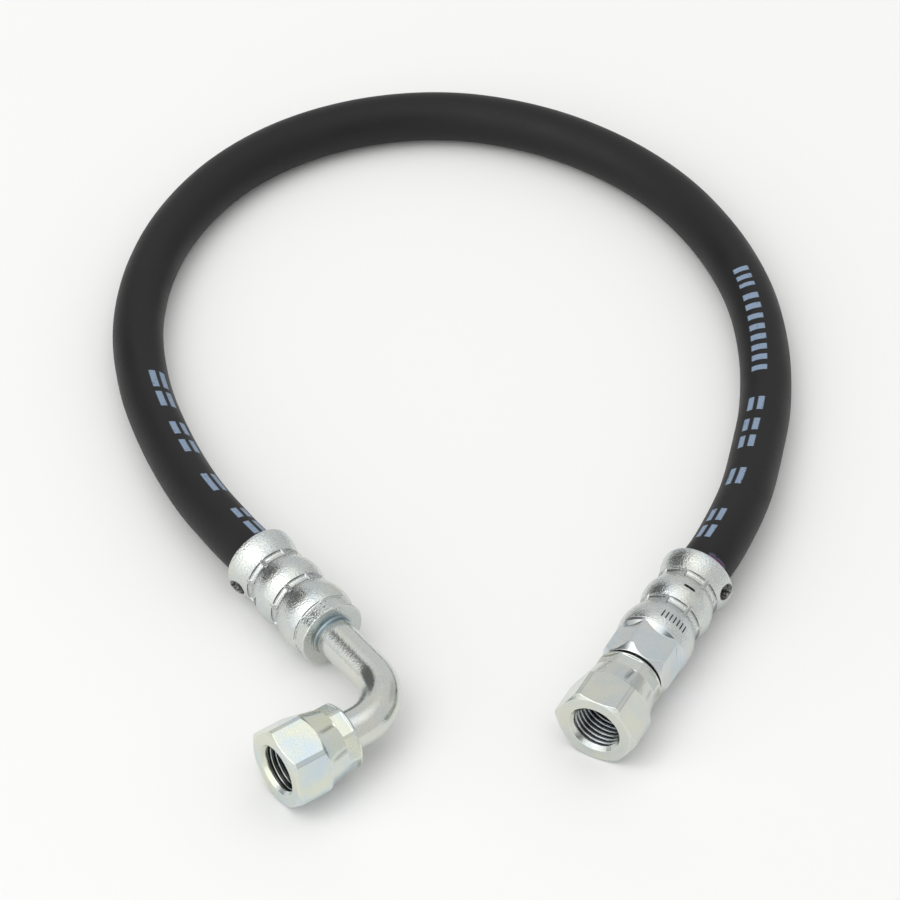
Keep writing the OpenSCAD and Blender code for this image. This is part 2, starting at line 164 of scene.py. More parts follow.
def tube_piece(name, line, outer, inner, sides, body, stands_for, slot):
    """A pipe wall: rings of the outer radius along the line and back inside it with
    the inner radius. The map's first coordinate is the length along it in metres."""
    walk = np.concatenate([[0], np.cumsum(np.linalg.norm(np.diff(line, axis=0), axis=1))])
    points = np.vstack([rings_round(line, outer, sides), rings_round(line, inner, sides)[::-1]])
    across = np.concatenate([walk, walk[::-1], walk[:1]])
    return grid_piece(name, points, body, stands_for, slot, across)


hose_cover = tube_piece("hose_cover_rubber", hose_line, cover_radius * MM, braid_radius * MM,
                        40, "hose", ["hose_cover"], "cover_rubber")
hose_braid = tube_piece("hose_wire_braid", hose_line, (braid_radius - 0.02) * MM,
                        liner_radius * MM, 32, "hose", ["wire_braid"], "braid_wire")
hose_liner = tube_piece("hose_liner", hose_line, (liner_radius - 0.02) * MM,
                        bore_radius * MM, 32, "hose", ["inner_tube"], "liner_rubber")
tuple(on_elbow((0, 0, 0)))


def node(tree, kind, inputs=None, **settings):
    """A shader node with its settings; each input is a value or another node's socket."""
    made = tree.nodes.new(kind)
    for name, value in settings.items():
        setattr(made, name, value)
    for name, value in (inputs or {}).items():
        if isinstance(value, bpy.types.NodeSocket):
            tree.links.new(value, made.inputs[name])
        else:
            made.inputs[name].default_value = value
    return made


def math(tree, operation, *values, clamp=False):
    """A maths node's result."""
    return node(tree, "ShaderNodeMath", dict(enumerate(values)), operation=operation,
                use_clamp=clamp).outputs[0]


def mix(tree, share, first, second):
    """First colour towards the second by the share."""
    made = node(tree, "ShaderNodeMix", {"Factor": share}, data_type="RGBA")
    for socket, value in ((made.inputs[6], first), (made.inputs[7], second)):
        if isinstance(value, bpy.types.NodeSocket):
            tree.links.new(value, socket)
        else:
            socket.default_value = (*value, 1.0)
    return made.outputs[2]


def between(tree, value, low, high, out_low=0.0, out_high=1.0):
    """The value mapped smoothly from low..high to out_low..out_high."""
    return node(tree, "ShaderNodeMapRange",
                {0: value, 1: low, 2: high, 3: out_low, 4: out_high},
                interpolation_type="SMOOTHSTEP").outputs[0]


def noise(tree, coordinates, scale, detail=2.0, roughness=0.5):
    """Even noise from 0 to 1 at that many grains a metre."""
    return node(tree, "ShaderNodeTexNoise", {"Vector": coordinates, "Scale": scale,
                "Detail": detail, "Roughness": roughness}).outputs["Fac"]


def new_material(name):
    """An empty node material with its output and the piece's own coordinates."""
    material = bpy.data.materials.new(name)
    material.use_nodes = True
    tree = material.node_tree
    tree.nodes.clear()
    return material, tree, node(tree, "ShaderNodeTexCoord").outputs["Object"]


def finish_material(tree, height=None, depth=0.0, **inputs):
    """The surface shader, with the height as relief of that many metres."""
    surface = node(tree, "ShaderNodeBsdfPrincipled",
                   {name.replace("_", " "): value for name, value in inputs.items()})
    if height is not None:
        bump = node(tree, "ShaderNodeBump",
                    {"Height": height, "Distance": depth, "Strength": 1.0})
        tree.links.new(bump.outputs[0], surface.inputs["Normal"])
    output = node(tree, "ShaderNodeOutputMaterial")
    tree.links.new(surface.outputs[0], output.inputs[0])
    return surface


def cover_rubber():
    """Satin black rubber with the faint slanted marks of the wrap it was cured in, fine
    dust, and a printed line of plain dashes."""
    material, tree, own = new_material("cover_rubber")
    surface = node(tree, "ShaderNodeUVMap", uv_map="surface").outputs[0]
    split = node(tree, "ShaderNodeSeparateXYZ", {0: surface})
    length, turn = split.outputs[0], split.outputs[1]
    wrap = math(tree, "SINE", math(tree, "ADD", math(tree, "MULTIPLY", length, 2200.0),
                                   math(tree, "MULTIPLY", turn, 2 * np.pi * 6)))
    grain = noise(tree, own, 3000.0, 3.0, 0.6)
    blotch = noise(tree, own, 90.0, 3.0)
    dust = between(tree, noise(tree, own, 1400.0, 1.0), 0.76, 0.82)
    height = math(tree, "ADD", math(tree, "MULTIPLY", wrap, 0.18), grain)
    ink, printed = dash_print(tree, own, length, turn)
    colour = mix(tree, blotch, (0.0100, 0.0100, 0.0104), (0.0145, 0.0142, 0.0142))
    colour = mix(tree, math(tree, "MULTIPLY", dust, 0.25), colour, (0.10, 0.10, 0.10))
    colour = mix(tree, ink, colour, printed)
    finish_material(tree, height, 0.00002, Base_Color=colour, Specular_IOR_Level=0.24,
                    Roughness=between(tree, blotch, 0.3, 0.7, 0.46, 0.54))
    return material


def dash_print(tree, own, length, turn):
    """Where the ink is and its colour: dashes along two stretches of the hose, and a
    dab of inspection paint at the straight ferrule's mouth."""
    ink = 0.0
    for (first, last), (low_end, high_end), (gap, half), dashes in print_stretches:
        inside = node(tree, "ShaderNodeMapRange", {0: length, 1: first, 2: last}).outputs[0]
        middle = node(tree, "ShaderNodeMapRange",
                      {0: inside, 3: low_end, 4: high_end}).outputs[0]
        ramp = node(tree, "ShaderNodeValToRGB", {0: inside})
        ramp.color_ramp.interpolation = "CONSTANT"
        stops = ramp.color_ramp.elements
        stops[0].position, stops[0].color = 0.0, (0, 0, 0, 1)
        stops[1].position, stops[1].color = 1.0, (0, 0, 0, 1)
        for start, end in dashes:
            stops.new((start - first) / (last - first)).color = (1, 1, 1, 1)
            stops.new((end - first) / (last - first)).color = (0, 0, 0, 1)
        away = math(tree, "ABSOLUTE", math(tree, "SUBTRACT", turn, middle))
        band = math(tree, "MULTIPLY",
                    between(tree, away, half - ink_edge, half + ink_edge, 1.0, 0.0),
                    between(tree, away, gap - ink_edge, gap + ink_edge))
        ink = math(tree, "MAXIMUM", ink, math(tree, "MULTIPLY", ramp.outputs[0], band))
    worn = between(tree, noise(tree, own, 1500.0, 3.0, 0.7), 0.30, 0.42)
    ink = math(tree, "MULTIPLY", ink, math(tree, "MULTIPLY", worn, 0.9))
    dab_length, dab_turn = paint_dab
    near = math(tree, "ABSOLUTE", math(tree, "SUBTRACT", length, dab_length))
    beside = math(tree, "ABSOLUTE", math(tree, "SUBTRACT", turn, dab_turn))
    ragged = noise(tree, own, 500.0, 3.0, 0.7)
    dab = math(tree, "MULTIPLY", between(tree, near, 0.0010, 0.0021, 1.0, 0.0),
               between(tree, beside, 0.04, 0.08, 1.0, 0.0))
    dab = math(tree, "MULTIPLY", dab, between(tree, ragged, 0.25, 0.5))
    colour = mix(tree, dab, (0.25, 0.33, 0.45), (0.14, 0.02, 0.11))
    return math(tree, "MAXIMUM", ink, math(tree, "MULTIPLY", dab, 0.8)), colour


# Each stretch: its ends along the hose in metres, the turn of its middle at both ends,
# where its ink starts and ends on both sides of that, and its dashes in metres
print_stretches = [
    ((0.020, 0.100), (0.172, 0.168), (0.014, 0.056),
     [(0.0255, 0.0305), (0.0325, 0.0362), (0.0440, 0.0510), (0.0605, 0.0655),
      (0.0680, 0.0730), (0.0795, 0.0855), (0.0875, 0.0940)]),
    ((0.350, 0.402), (0.218, 0.198), (-0.010, 0.050),
     [(0.3565, 0.3580), (0.3595, 0.3610), (0.3625, 0.3640)]
     + [(0.3668 + 0.0039 * k, 0.3688 + 0.0039 * k) for k in range(8)]),
    ((0.402, 0.470), (0.198, 0.172), (0.014, 0.052),
     [(0.4065, 0.4115), (0.4150, 0.4195), (0.4215, 0.4260), (0.4345, 0.4410),
      (0.4510, 0.4555), (0.4575, 0.4620)])]
# How soft the ink's sides are, as a share of a turn, and where the dab of paint lies
ink_edge = 0.004
paint_dab = (hose_length - hose_grip * MM - 0.0016, 0.355)
hose_cover.data.materials.append(cover_rubber())


def braid_wire():
    """Plaited steel wire: two sets of ridges that cross, high where both meet, with painted
    shade where the wires lie low.
    """
    material, tree, own = new_material("braid_wire")
    surface = node(tree, "ShaderNodeUVMap", uv_map="surface").outputs[0]
    split = node(tree, "ShaderNodeSeparateXYZ", {0: surface})
    along = math(tree, "MULTIPLY", split.outputs[0], 1500.0)
    turn = math(tree, "MULTIPLY", split.outputs[1], 2 * np.pi * 12)
    one = math(tree, "SINE", math(tree, "ADD", along, turn))
    other = math(tree, "SINE", math(tree, "SUBTRACT", along, turn))
    height = math(tree, "MULTIPLY", one, other)
    # Painted shade: the colour darkens where the relief is low, between the wires
    colour = mix(tree, between(tree, height, -1.0, 1.0), (0.20, 0.20, 0.20),
                 (0.52, 0.51, 0.49))
    finish_material(tree, height, 0.0001, Base_Color=colour, Metallic=1.0,
                    Roughness=between(tree, noise(tree, own, 600.0), 0.3, 0.7, 0.3, 0.45))
    return material


def liner_rubber():
    """Plain black rubber, smooth from the mandrel."""
    material, tree, own = new_material("liner_rubber")
    blotch = noise(tree, own, 400.0, 3.0)
    colour = mix(tree, blotch, (0.012, 0.012, 0.012), (0.022, 0.022, 0.021))
    finish_material(tree, blotch, 0.00003, Base_Color=colour,
                    Roughness=between(tree, blotch, 0.3, 0.7, 0.5, 0.62))
    return material


hose_braid.data.materials.append(braid_wire())
hose_liner.data.materials.append(liner_rubber())

# ---------------------------------------------------------------------------
# Ferrules: zinc plated steel sleeves, swaged over the hose by eight dies. Each die
# presses a flat into two grooves; what is squeezed up between two dies is a nib.
skirt_radius, nib_radius, die_floor = 9.35, 8.1, 7.4
half_groove, half_floor = 1.35, 1.12
band_radius, band_rib, band_turn = 8.34, 0.36, 2.0
sleeve_bore, sleeve_hollow, sleeve_depth = 6.55, 6.85, 23.5
dies = 8
die_step = 360.0 / dies


def eased(profile, radius, steps=3):
    """Rounds the corners of closed profiles (columns x points x 2). A corner P becomes
    (1-t)^2 A + 2t(1-t) P + t^2 B, with A and B set back along its sides, and one point
    beyond each of them keeps the flats flat. Also says how much each point is edge, for
    the plating's polish and its painted highlight."""
    before = np.roll(profile, 1, axis=1) - profile
    after = np.roll(profile, -1, axis=1) - profile
    radius = np.broadcast_to(radius, profile.shape[1])[None, :, None]

    def set_back(side, amount, share):
        size = np.maximum(np.linalg.norm(side, axis=-1, keepdims=True), 1e-9)
        return profile + side / size * np.minimum(amount, share * size)

    a, b = set_back(before, radius, 0.42), set_back(after, radius, 0.42)
    corners = [set_back(before, radius * 1.6, 0.48)]
    corners += [(1 - t) ** 2 * a + 2 * t * (1 - t) * profile + t ** 2 * b
                for t in np.linspace(0, 1, steps + 1)]
    corners += [set_back(after, radius * 1.6, 0.48)]
    outward = np.cross(before, after)
    sharp = np.clip(np.abs(outward) / (np.linalg.norm(before, axis=-1)
                    * np.linalg.norm(after, axis=-1) + 1e-9) * 2, 0, 1)
    share = np.array([0, 0.3] + [1] * (steps - 1) + [0.3, 0])
    points = np.stack(corners, axis=2).reshape(len(profile), -1, 2)
    return points, (sharp[:, :, None] * share).reshape(len(profile), -1)


def round_axis(profile, angles):
    """Carries a profile (distance from the axis, place along it) round the axis:
    x = r cos a, y = r sin a, z = place."""
    r, z = profile[..., 0], profile[..., 1]
    a = np.radians(angles)[:, None]
    return np.stack([r * np.cos(a), r * np.sin(a), z], axis=-1)


def profile_of(angles, *stations):
    """Stations (radius, place), each a number or one for each angle, as closed
    profiles for all the angles."""
    count = len(angles)
    return np.stack([np.stack([np.broadcast_to(r, count), np.broadcast_to(z, count)], axis=-1)
                     for r, z in stations], axis=1)


def lobe(start, end, r_start, r_end, top, count=11):
    """Stations of a swelling: a straight line from r_start to r_end plus a parabola
    that brings its middle to top."""
    u = np.linspace(0, 1, count)
    swell = top - (r_start + r_end) / 2
    return [(r_start + (r_end - r_start) * k + swell * 4 * k * (1 - k),
             start + (end - start) * k) for k in u]


def die_angles(turn):
    """Angles round a ferrule, close together at the sides of each nib."""
    half = np.array([1.4, 2.2, 2.6, 3.0, 3.4, 3.8, 4.2, 4.7, 5.4, 7, 9.5, 12.5, 16, 19.5])
    phase = np.concatenate([-half[::-1], [0.0], half, [die_step / 2]])
    return (turn + np.arange(dies)[:, None] * die_step + phase).ravel()


def smooth_step(value, first, last):
    """From 0 at first to 1 at last, level at both ends: 3 t^2 - 2 t^3."""
    t = np.clip((value - first) / (last - first), 0, 1)
    return t * t * (3 - 2 * t)


def pressed(angles, turn):
    """0 on a nib, 1 where a die has pressed, with a short smooth side between."""
    half = die_step / 2
    return smooth_step(np.abs((angles - turn + half) % die_step - half), 2.2, 4.7)


def groove(at, angles, turn):
    """Stations of one groove: down to the floor that a die leaves, or to the nib, and
    back up. The floor is flatter than a ring (die_floor, plus 0.4 of what 1 / cos of
    the angle from the die's middle adds) and 0.28 mm hollow along the axis."""
    off = np.radians((angles - turn) % die_step - die_step / 2)
    share = pressed(angles, turn)
    floor = nib_radius + (die_floor * (1 + 0.4 * (1 / np.cos(off) - 1)) - nib_radius) * share
    rim = nib_radius + 0.02 * share
    return [(rim, at - half_groove), (rim - 0.02, at - half_floor - 0.1),
            (floor + 0.2 * share, at - half_floor), (floor, at - 0.65),
            (floor - 0.08 * share, at), (floor, at + 0.65),
            (floor + 0.2 * share, at + half_floor), (rim - 0.02, at + half_floor + 0.1),
            (rim, at + half_groove)]


def ferrule(name, place, node_name, turn, grooves, tops, dome_end, end_radius, end_stations):
    """One ferrule: skirt, groove, middle lobe, groove, third lobe, its own end, and
    the bore inside."""
    angles = die_angles(turn)
    grip = grooves[0] - half_groove
    stations = [(7.15, 0.0), (skirt_radius - 0.4, 0.0), (skirt_radius, 0.4),
                (skirt_radius - 0.02, 0.17 * grip), (skirt_radius - 0.15, 0.32 * grip),
                (skirt_radius - 0.36, 0.48 * grip), (skirt_radius - 0.68, 0.64 * grip),
                (nib_radius + 0.26, 0.80 * grip), (nib_radius + 0.08, 0.93 * grip)]
    # Stations that get painted shade where a die pressed: the groove's walls and the sides of
    # its floor
    pinched = [len(stations) + k for k in (1, 2, 5, 6, 7)]
    stations += groove(grooves[0], angles, turn)
    stations += lobe(grooves[0] + half_groove, grooves[1] - half_groove, nib_radius,
                     nib_radius, tops[0])[1:-1]
    pinched += [len(stations) + k for k in (1, 2, 5, 6, 7)]
    stations += groove(grooves[1], angles, turn)
    stations += lobe(grooves[1] + half_groove, dome_end, nib_radius, end_radius, tops[1])[1:]
    stations += end_stations(angles)
    stations += [(sleeve_hollow, sleeve_depth), (sleeve_bore, sleeve_depth),
                 (sleeve_bore, 1.2)]
    points, edge = eased(profile_of(angles, *stations), 0.12)
    share = pressed(angles, turn)
    steps = points.shape[1] // len(stations)
    # Painted shade in the pressed grooves, at their walls and the sides of their floors
    pinch = np.zeros_like(edge)
    for k in pinched:
        pinch[:, k * steps:(k + 1) * steps] = 0.8 * share[:, None]
    # In both grooves: darker down the middle of each nib, and a painted highlight along its two
    # flanks
    for first in (pinched[0] - 1, pinched[5] - 1):
        whole = np.s_[:, first * steps:(first + 9) * steps]
        pinch[whole] = np.maximum(pinch[whole], 0.5 * (1 - share[:, None]) ** 5)
        edge[whole] = np.maximum(edge[whole], (6.0 * share * (1 - share))[:, None])
    piece = grid_piece(name, place(round_axis(points, angles)), "hose", [node_name],
                       "ferrule_zinc", edge=edge, pinch=pinch)
    piece.data.materials.append(ferrule_zinc)
    return piece


def cut_with(piece, bits, sides, finish):
    """Cuts bits out of a piece. Each bit is a stack of rings of that many sides, and
    the cut faces get the finish."""
    i = np.arange(sides)
    faces, points = [], np.vstack(bits)
    for b, bit in enumerate(bits):
        rings, first = len(bit) // sides, b * len(bit)
        for k in range(rings - 1):
            low, high = first + k * sides, first + (k + 1) * sides
            faces += np.stack([low + i, low + (i + 1) % sides, high + (i + 1) % sides,
                               high + i], -1).tolist()
        faces += [(first + i[::-1]).tolist(), (first + (rings - 1) * sides + i).tolist()]
    mesh = bpy.data.meshes.new("bits")
    mesh.from_pydata(points, [], faces)
    mesh.materials.append(finish)
    cutter = add_object("bits", mesh)
    cut = piece.modifiers.new("cut", "BOOLEAN")
    cut.object, cut.operation, cut.solver = cutter, "DIFFERENCE", "EXACT"
    cut.material_mode = "TRANSFER"
    bpy.context.view_layer.update()
    done = bpy.data.meshes.new_from_object(piece.evaluated_get(
        bpy.context.evaluated_depsgraph_get()))
    piece.modifiers.clear()
    piece.data = done
    done.name = piece.name
    bpy.data.objects.remove(cutter)
    done.set_sharp_from_angle(angle=np.radians(38))


def bit_at(turn, at, outline, levels):
    """A bit square to the axis: the outline (round the ferrule, along it) at each level
    (distance from the axis, size)."""
    a = np.radians(turn)
    out, across = np.array([np.cos(a), np.sin(a), 0]), np.array([-np.sin(a), np.cos(a), 0])
    return np.vstack([(0, 0, at) + out * far + size * (outline[:, :1] * across
                      + outline[:, 1:] * np.array([0, 0, 1])) for far, size in levels])


def slot(length, width, sides=24):
    """Outline of a slot with round ends: two half circles set apart."""
    b = np.linspace(0, 2 * np.pi, sides, endpoint=False) + 1e-3
    long_way = length >= width
    half = abs(length - width) / 2
    points = np.stack([np.cos(b), np.sin(b)], -1) * min(length, width) / 2
    points[:, 0 if long_way else 1] += half * np.sign(points[:, 0 if long_way else 1])
    return points


def sight_hole(piece, place, turn, at):
    """The round hole that shows how far in the hose is."""
    cut_with(piece, [place(bit_at(turn, at, slot(2.0, 2.0, 48), (
        (6.7, 2.05), (8.75, 2.1), (9.2, 2.3), (12.0, 2.3))))], 48, shaded_hole_steel)


def elbow_end(angles):
    """Lock band: eight pressed dents with narrow ribs between them, then the flat end
    wall and the collar's bore."""
    off = np.abs((angles - band_turn) % die_step - die_step / 2)
    band = band_radius + band_rib * smooth_step(off, 19.8, 20.4)
    return [(band, 27.7), (band, 31.05), (8.72, 31.15), (8.45, 31.5), (5.5, 31.4),
            (5.5, 30.2), (sleeve_hollow, 30.2)]


def straight_end(angles):
    """It ends against the nipple's hexagon, which it grips from inside."""
    return [(sleeve_hollow, 26.0)]


def plating_group():
    """Zinc plating with a clear blue passivate: slow drifts of tint, a fine grain like
    sand that breaks up highlights, edges polished by handling with a painted highlight
    along them, and painted shade in hollows and creases."""
    group = bpy.data.node_groups.new("zinc_plating", "ShaderNodeTree")
    for name, kind in (("Base", "NodeSocketColor"), ("Cool", "NodeSocketColor"),
                       ("Warm", "NodeSocketColor"), ("Gloss", "NodeSocketFloat"),
                       ("Grain", "NodeSocketFloat"), ("Speckle", "NodeSocketFloat")):
        group.interface.new_socket(name, in_out="INPUT", socket_type=kind)
    for name, kind in (("Color", "NodeSocketColor"), ("Roughness", "NodeSocketFloat"),
                       ("Height", "NodeSocketFloat")):
        group.interface.new_socket(name, in_out="OUTPUT", socket_type=kind)
    given = group.nodes.new("NodeGroupInput")
    result = group.nodes.new("NodeGroupOutput")
    own = node(group, "ShaderNodeTexCoord").outputs["Object"]
    edge = node(group, "ShaderNodeAttribute", attribute_name="edge").outputs["Fac"]
    drift = between(group, noise(group, own, 170.0, 2.0), 0.36, 0.66)
    other = between(group, noise(group, own, 110.0, 2.0), 0.38, 0.70)
    fine = noise(group, own, 2000.0, 2.0, 0.55)
    speckle = math(group, "MULTIPLY", given.outputs["Speckle"],
                   between(group, noise(group, own, 3600.0, 1.0), 0.38, 0.64))
    pinch = node(group, "ShaderNodeAttribute", attribute_name="pinch").outputs["Fac"]
    colour = mix(group, drift, given.outputs["Base"], given.outputs["Cool"])
    colour = mix(group, math(group, "MULTIPLY", other, 0.9), colour, given.outputs["Warm"])
    # Painted shade: the colour darkens to a dark blue grey where the piece marks its hollows,
    # creases and bores
    colour = mix(group, math(group, "MULTIPLY", pinch, 0.75), colour, (0.12, 0.14, 0.155))
    colour = mix(group, speckle, colour, (0.27, 0.30, 0.31))
    # Painted highlight: the colour is lighter along edges; the lower roughness below is their
    # polish from handling
    colour = mix(group, math(group, "MULTIPLY", edge, 0.4, clamp=True), colour,
                 (0.88, 0.88, 0.87))
    rough = math(group, "ADD", given.outputs["Gloss"],
                 math(group, "MULTIPLY", math(group, "SUBTRACT", fine, 0.5), 0.18))
    rough = math(group, "SUBTRACT", rough, math(group, "MULTIPLY", edge, 0.05), clamp=True)
    height = math(group, "MULTIPLY", fine, given.outputs["Grain"])
    group.links.new(colour, result.inputs["Color"])
    group.links.new(rough, result.inputs["Roughness"])
    group.links.new(height, result.inputs["Height"])
    return group


zinc_plating = plating_group()


def plated(name, base, cool, warm, gloss, grain, depth=0.00001, speckle=0.08):
    """A zinc plated steel finish: its three tints, how rough it is, and its grain as
    relief and as dark specks."""
    material, tree, _ = new_material(name)
    coat = node(tree, "ShaderNodeGroup", node_tree=zinc_plating)
    for key, value in (("Base", (*base, 1)), ("Cool", (*cool, 1)), ("Warm", (*warm, 1)),
                       ("Gloss", gloss), ("Grain", grain), ("Speckle", speckle)):
        coat.inputs[key].default_value = value
    finish_material(tree, coat.outputs["Height"], depth, Base_Color=coat.outputs["Color"],
                    Metallic=1.0, Roughness=coat.outputs["Roughness"])
    return material


def shaded_hole_wall():
    """Bare steel that a tool has torn, dull and rough, with a dark mottle that is painted shade
    in the sight hole.
    """
    material, tree, own = new_material("shaded_hole_steel")
    rough = noise(tree, own, 1500.0, 4.0, 0.7)
    # Painted shade: the base is near black, with a lighter mottle
    colour = mix(tree, between(tree, rough, 0.42, 0.6), (0.04, 0.04, 0.04),
                 (0.45, 0.45, 0.44))
    finish_material(tree, rough, 0.00012, Base_Color=colour, Metallic=0.6,
                    Roughness=between(tree, rough, 0.3, 0.7, 0.45, 0.7))
    return material


def shaded_stamp():
    """The floor of a struck mark, dark with a mottle: painted shade in the recess."""
    material, tree, own = new_material("shaded_stamp_steel")
    stamp_shade_mottle = noise(tree, own, 1800.0, 4.0, 0.7)
    # Painted shade: very dark, with a lighter mottle
    colour = mix(tree, between(tree, stamp_shade_mottle, 0.42, 0.68), (0.014, 0.014, 0.014),
                 (0.16, 0.16, 0.16))
    finish_material(tree, stamp_shade_mottle, 0.00005, Base_Color=colour, Metallic=0.8,
                    Roughness=between(tree, stamp_shade_mottle, 0.3, 0.7, 0.5, 0.35))
    return material


shaded_hole_steel, shaded_stamp_steel = shaded_hole_wall(), shaded_stamp()
ferrule_zinc = plated("ferrule_zinc", (0.66, 0.69, 0.67), (0.62, 0.67, 0.68),
                      (0.68, 0.69, 0.63), 0.16, 1.0, 0.00013, 0.26)
elbow_ferrule = ferrule("elbow_ferrule_shell", on_elbow, "elbow_ferrule", 26.0,
                        (8.1, 18.35), (9.0, 9.2), 27.6, 8.8, elbow_end)
straight_ferrule = ferrule("straight_ferrule_shell", on_straight, "straight_ferrule", 5.0,
                           (7.3, 17.2), (8.95, 9.35), 26.0, 9.2, straight_end)
sight_hole(elbow_ferrule, on_elbow, 190.0, 3.6)
sight_hole(straight_ferrule, on_straight, 9.0, 2.85)

# Struck into the plating after the crimp: a dash on each middle lobe, and a row of
# plain ticks on the third lobe of the straight one
punch, tick = slot(3.4, 0.8), slot(0.34, 2.5)
tick_levels = ((9.18, 0.8), (9.9, 1.4))
elbow_dash = bit_at(179.0, 11.45, punch, ((8.68, 0.8), (9.4, 1.3)))
straight_dash = bit_at(70.0, 11.7, punch, ((8.63, 0.8), (9.35, 1.3)))
ticks = [bit_at(41.5 + 6.6 * k, 22.85, tick, tick_levels) for k in range(7)]
cut_with(elbow_ferrule, [on_elbow(elbow_dash)], 24, shaded_stamp_steel)
cut_with(straight_ferrule, [on_straight(bit) for bit in (straight_dash, *ticks)], 24,
         shaded_stamp_steel)

# ---------------------------------------------------------------------------
# Elbow: a nipple held in the ferrule, a bent steel tube brazed into it with a small
# fillet, and a cone seat brazed on the tube's other end inside the nut.
elbow_corner, bend_radius, tube_radius, tube_bore = 60.2, 12.7, 5.0, 3.0
elbow_drop = 35.9
nut_length = 19.3


def on_elbow_drop(points):
    """The elbow's second leg: z runs from the corner towards the nut's face."""
    points = np.asarray(points, float)
    x, y, z = points[..., 0], points[..., 1], points[..., 2]
    return on_elbow(np.stack([-z, y, elbow_corner + x], axis=-1))


def elbow_middle_line():
    """Straight, a quarter circle of the bend radius, and straight again."""
    first = [(0, 0, z) for z in (26.4, 29.0, 31.35, 31.4, 31.6, 34, 37, 40, 43, 46)]
    a = np.linspace(0, np.pi / 2, 28)
    bend = np.stack([-bend_radius * (1 - np.cos(a)), 0 * a,
                     elbow_corner - bend_radius + bend_radius * np.sin(a)], -1)
    last = [(-d, 0, elbow_corner) for d in (14.5, 16.5, 18.5, 20.5, 22.9)]
    return np.vstack([first, bend, last])


tube_line = elbow_middle_line()
tube_outer = np.where(tube_line[:, 2] < 31.38, 4.2, tube_radius)
tube_outer[tube_line[:, 0] < -1e-6] = tube_radius
elbow_tube = tube_piece("elbow_tube_bent", on_elbow(tube_line), tube_outer * MM, tube_bore * MM,
                        72, "hose", ["elbow_tube"], "tube_zinc")

fillet_angles = np.arange(0, 360, 5.0)
# Its edge share also gives the braze a painted highlight along its corners
fillet_points, fillet_edge = eased(profile_of(
    fillet_angles, (4.9, 31.35), (5.4, 31.35), (5.22, 31.5), (5.08, 31.8), (5.02, 32.4),
    (4.95, 33.2), (4.8, 33.2)), 0.05)
braze_ring = grid_piece("braze_ring", on_elbow(round_axis(fillet_points, fillet_angles)),
                        "hose", ["braze_fillet"], "braze", edge=fillet_edge)

tube_zinc = plated("tube_zinc", (0.67, 0.69, 0.65), (0.64, 0.67, 0.66), (0.70, 0.70, 0.63),
                   0.15, 1.0, 0.00004, 0.14)
elbow_tube.data.materials.append(tube_zinc)
braze_ring.data.materials.append(plated("braze", (0.28, 0.36, 0.40), (0.22, 0.30, 0.34),
                                        (0.38, 0.41, 0.40), 0.34, 1.6))
nipple_zinc = plated("nipple_zinc", (0.64, 0.68, 0.69), (0.59, 0.66, 0.70), (0.67, 0.68, 0.64),
                     0.22, 0.5)
for hidden in ("elbow_nipple", "elbow_seat"):
    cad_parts[hidden].data.materials.clear()
    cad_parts[hidden].data.materials.append(nipple_zinc)

# ---------------------------------------------------------------------------
# Straight nipple: turned from hexagon bar in one piece, with a barbed tail in the
# hose, a locked collar, the spanner hexagon, a neck, a shoulder and a cone nose.
ferrule_end, hexagon_length = 26.0, 10.7
hexagon_end = ferrule_end + hexagon_length


def corner_angles(first_corner, strip):
    """Angles round a hexagon, close together at both sides of each corner strip."""
    near = np.array([strip * 0.35, strip * 0.7, strip - 0.35, strip - 0.1, strip + 0.15,
                     strip + 0.45, strip + 1.0, strip + 2.2])
    wide = np.linspace(strip + 4.0, 30.0, 12)[:-1]
    half = np.concatenate([near, wide])
    phase = np.concatenate([-half[::-1], [0.0], half, [30.0]])
    return (first_corner + np.arange(6)[:, None] * 60.0 + phase).ravel()


def hexagon(angles, first_corner, half_width, corner_radius):
    """Distance from the axis of a hexagon with its corners trimmed to a circle."""
    off_corner = (angles - first_corner + 30.0) % 60.0 - 30.0
    flat = half_width / np.cos(np.radians(30.0 - np.abs(off_corner)))
    return np.minimum(flat, corner_radius)


nipple_corner = -21.0
nipple_half, nipple_trim = 8.0, 8.9
nipple_strip = 30.0 - np.degrees(np.arccos(nipple_half / nipple_trim))
nipple_angles = corner_angles(nipple_corner, nipple_strip)
nipple_hex = hexagon(nipple_angles, nipple_corner, nipple_half, nipple_trim)
rear_meet = ferrule_end + 0.75 + (nipple_trim - nipple_hex) * 1.2
front_meet = hexagon_end - 2.2 + (nipple_trim - nipple_hex) * 2.2
barbs = [station for k in range(6) for station in
         ((3.05, 3.0 + k * 3.417), (3.3, 3.0 + (k + 0.9) * 3.417))]
nut_at = hexagon_end + 0.7
nipple_profile = profile_of(
    nipple_angles, (2.2, 3.0), *barbs, (3.05, 23.5), (6.8, 23.5), (6.8, 24.1), (6.1, 24.1),
    (6.1, 25.4), (6.8, 25.4), (6.8, 26.0), (9.2, ferrule_end + 0.06),
    (8.9, ferrule_end + 0.75), (nipple_hex, rear_meet), (nipple_hex, front_meet),
    (7.9, hexagon_end), (5.0, hexagon_end), (5.0, nut_at + 4.0), (6.4, nut_at + 4.0),
    (6.4, nut_at + 6.9), (5.4, nut_at + 6.9), (3.78, nut_at + 9.7), (3.0, nut_at + 9.7),
    (3.0, hexagon_end), (2.2, hexagon_end))
# Its edge share also gives the nipple a painted highlight along its corners
nipple_points, nipple_edge = eased(nipple_profile, 0.1)
straight_nipple = grid_piece("straight_nipple_turned",
                             on_straight(round_axis(nipple_points, nipple_angles)), "hose",
                             ["straight_nipple"], "nipple_zinc", edge=nipple_edge)
straight_nipple.data.materials.append(nipple_zinc)

